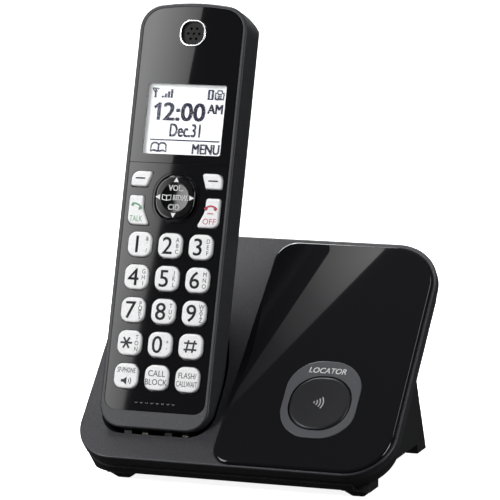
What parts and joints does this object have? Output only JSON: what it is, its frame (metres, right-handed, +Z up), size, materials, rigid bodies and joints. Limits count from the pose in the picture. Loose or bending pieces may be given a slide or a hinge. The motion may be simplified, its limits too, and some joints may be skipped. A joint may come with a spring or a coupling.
{
  "type": "cordless phone with base",
  "caption": "Cordless handset with keypad and display, standing in a leaning desk base with a gloss panel, a locator key and a slide-on stand.",
  "frame": {"origin": "on the table, under the middle of the footprint", "axes": "+Z up, +Y away from the user, +X to the right as the user faces the keypad"},
  "size_m": [0.1226, 0.1, 0.1737],
  "materials": {
    "matte_abs": "fine moulded texture",
    "gloss_black": "high gloss",
    "pearl_key": "pearl silver, satin",
    "grey_abs": "satin",
    "satin_key": "satin",
    "switch_body": "moulded",
    "circuit_board": "solder mask",
    "tinned_steel": "tinned",
    "screw_steel": "zinc plated",
    "contact_metal": "nickel plated",
    "socket_plastic": "moulded",
    "rubber_feet": "matte",
    "clear_window": "clear polished",
    "display_glass": "pale liquid-crystal glass",
    "holder_plastic": "moulded",
    "chrome_ring": "plated",
    "grille_mesh": "perforated",
    "speaker_body": "moulded",
    "silicone_mat": "silicone",
    "dome_film": "film",
    "cell_wrap": "shrink sleeve"
  },
  "bodies": {
    "base": {"base_front_cover": "matte_abs", "base_rear_cover": "matte_abs", "gloss_panel": "gloss_black", "locator_surround": "grey_abs", "locator_switch": "switch_body", "base_circuit_board": "circuit_board", "base_shield_can": "tinned_steel", "base_charge_contacts": "contact_metal", "jack_board": "circuit_board", "power_jack": "socket_plastic", "line_jack": "socket_plastic", "base_antennas": "tinned_steel", "base_screws": "screw_steel", "front_feet": "rubber_feet"},
    "locator_key": {"locator_key": "satin_key"},
    "desk_stand": {"desk_stand": "matte_abs", "stand_feet": "rubber_feet"},
    "handset": {"handset_frame": "matte_abs", "handset_rear_cover": "matte_abs", "lens_panel": "gloss_black", "display_window": "clear_window", "keypad_panel": "gloss_black", "earpiece_ring": "chrome_ring", "earpiece_grille": "grille_mesh", "receiver": "speaker_body", "display_module": "display_glass", "display_holder": "holder_plastic", "handset_circuit_board": "circuit_board", "key_mat": "silicone_mat", "dome_sheet": "dome_film", "microphone": "speaker_body", "loudspeaker": "speaker_body", "handset_shield_can": "tinned_steel", "handset_antenna": "tinned_steel", "handset_charge_contacts": "contact_metal", "battery_cells": "cell_wrap", "battery_terminals": "tinned_steel", "handset_screws": "screw_steel"},
    "battery_cover": {"battery_cover": "matte_abs"},
    "nav_pivot": {"nav_key_pivot": "switch_body"},
    "nav_key": {"nav_key": "gloss_black"},
    "soft_key_left": {"soft_key_left": "pearl_key"},
    "soft_key_right": {"soft_key_right": "pearl_key"},
    "talk_key": {"talk_key": "pearl_key"},
    "off_key": {"off_key": "pearl_key"},
    "speaker_key": {"speaker_key": "pearl_key"},
    "block_key": {"block_key": "pearl_key"},
    "flash_key": {"flash_key": "pearl_key"},
    "key_star": {"key_star": "pearl_key"},
    "key_hash": {"key_hash": "pearl_key"},
    "key_0": {"key_0": "pearl_key"},
    "key_1": {"key_1": "pearl_key"},
    "key_2": {"key_2": "pearl_key"},
    "key_3": {"key_3": "pearl_key"},
    "key_4": {"key_4": "pearl_key"},
    "key_5": {"key_5": "pearl_key"},
    "key_6": {"key_6": "pearl_key"},
    "key_7": {"key_7": "pearl_key"},
    "key_8": {"key_8": "pearl_key"},
    "key_9": {"key_9": "pearl_key"}
  },
  "joints": [
    {"name": "handset_lift", "type": "slide", "parent": "base", "child": "handset", "axis": [0, 0.2955, 0.9553], "range_m": [0, 0.07]},
    {"name": "locator_press", "type": "slide", "parent": "base", "child": "locator_key", "axis": [0, 0.7125, -0.7017], "range_m": [0, 0.0008], "stiffness_N_per_m": 1500},
    {"name": "stand_release", "type": "slide", "parent": "base", "child": "desk_stand", "axis": [0, -0.7017, -0.7125], "range_m": [0, 0.01]},
    {"name": "battery_cover_slide", "type": "slide", "parent": "handset", "child": "battery_cover", "axis": [0, -0.2955, -0.9553], "range_m": [0, 0.007]},
    {"name": "nav_tilt_up_down", "type": "hinge", "parent": "handset", "child": "nav_pivot", "pos_m": [-0.03165, -0.01465, 0.10202], "axis": [1, 0, 0], "range_deg": [-3, 3], "stiffness_Nm_per_rad": 0.06},
    {"name": "nav_tilt_left_right", "type": "hinge", "parent": "nav_pivot", "child": "nav_key", "pos_m": [-0.03165, -0.01465, 0.10202], "axis": [0, 0.2955, 0.9553], "range_deg": [-3, 3], "stiffness_Nm_per_rad": 0.06},
    {"name": "soft_key_left_press", "type": "slide", "parent": "handset", "child": "soft_key_left", "axis": [0, 0.9553, -0.2955], "range_m": [0, 0.0005], "stiffness_N_per_m": 2500},
    {"name": "soft_key_right_press", "type": "slide", "parent": "handset", "child": "soft_key_right", "axis": [0, 0.9553, -0.2955], "range_m": [0, 0.0005], "stiffness_N_per_m": 2500},
    {"name": "talk_key_press", "type": "slide", "parent": "handset", "child": "talk_key", "axis": [0, 0.9553, -0.2955], "range_m": [0, 0.0005], "stiffness_N_per_m": 2500},
    {"name": "off_key_press", "type": "slide", "parent": "handset", "child": "off_key", "axis": [0, 0.9553, -0.2955], "range_m": [0, 0.0005], "stiffness_N_per_m": 2500},
    {"name": "speaker_key_press", "type": "slide", "parent": "handset", "child": "speaker_key", "axis": [0, 0.9553, -0.2955], "range_m": [0, 0.0005], "stiffness_N_per_m": 2500},
    {"name": "block_key_press", "type": "slide", "parent": "handset", "child": "block_key", "axis": [0, 0.9553, -0.2955], "range_m": [0, 0.0005], "stiffness_N_per_m": 2500},
    {"name": "flash_key_press", "type": "slide", "parent": "handset", "child": "flash_key", "axis": [0, 0.9553, -0.2955], "range_m": [0, 0.0005], "stiffness_N_per_m": 2500},
    {"name": "key_star_press", "type": "slide", "parent": "handset", "child": "key_star", "axis": [0, 0.9553, -0.2955], "range_m": [0, 0.0005], "stiffness_N_per_m": 2500},
    {"name": "key_hash_press", "type": "slide", "parent": "handset", "child": "key_hash", "axis": [0, 0.9553, -0.2955], "range_m": [0, 0.0005], "stiffness_N_per_m": 2500},
    {"name": "key_0_press", "type": "slide", "parent": "handset", "child": "key_0", "axis": [0, 0.9553, -0.2955], "range_m": [0, 0.0005], "stiffness_N_per_m": 2500},
    {"name": "key_1_press", "type": "slide", "parent": "handset", "child": "key_1", "axis": [0, 0.9553, -0.2955], "range_m": [0, 0.0005], "stiffness_N_per_m": 2500},
    {"name": "key_2_press", "type": "slide", "parent": "handset", "child": "key_2", "axis": [0, 0.9553, -0.2955], "range_m": [0, 0.0005], "stiffness_N_per_m": 2500},
    {"name": "key_3_press", "type": "slide", "parent": "handset", "child": "key_3", "axis": [0, 0.9553, -0.2955], "range_m": [0, 0.0005], "stiffness_N_per_m": 2500},
    {"name": "key_4_press", "type": "slide", "parent": "handset", "child": "key_4", "axis": [0, 0.9553, -0.2955], "range_m": [0, 0.0005], "stiffness_N_per_m": 2500},
    {"name": "key_5_press", "type": "slide", "parent": "handset", "child": "key_5", "axis": [0, 0.9553, -0.2955], "range_m": [0, 0.0005], "stiffness_N_per_m": 2500},
    {"name": "key_6_press", "type": "slide", "parent": "handset", "child": "key_6", "axis": [0, 0.9553, -0.2955], "range_m": [0, 0.0005], "stiffness_N_per_m": 2500},
    {"name": "key_7_press", "type": "slide", "parent": "handset", "child": "key_7", "axis": [0, 0.9553, -0.2955], "range_m": [0, 0.0005], "stiffness_N_per_m": 2500},
    {"name": "key_8_press", "type": "slide", "parent": "handset", "child": "key_8", "axis": [0, 0.9553, -0.2955], "range_m": [0, 0.0005], "stiffness_N_per_m": 2500},
    {"name": "key_9_press", "type": "slide", "parent": "handset", "child": "key_9", "axis": [0, 0.9553, -0.2955], "range_m": [0, 0.0005], "stiffness_N_per_m": 2500}
  ]
}
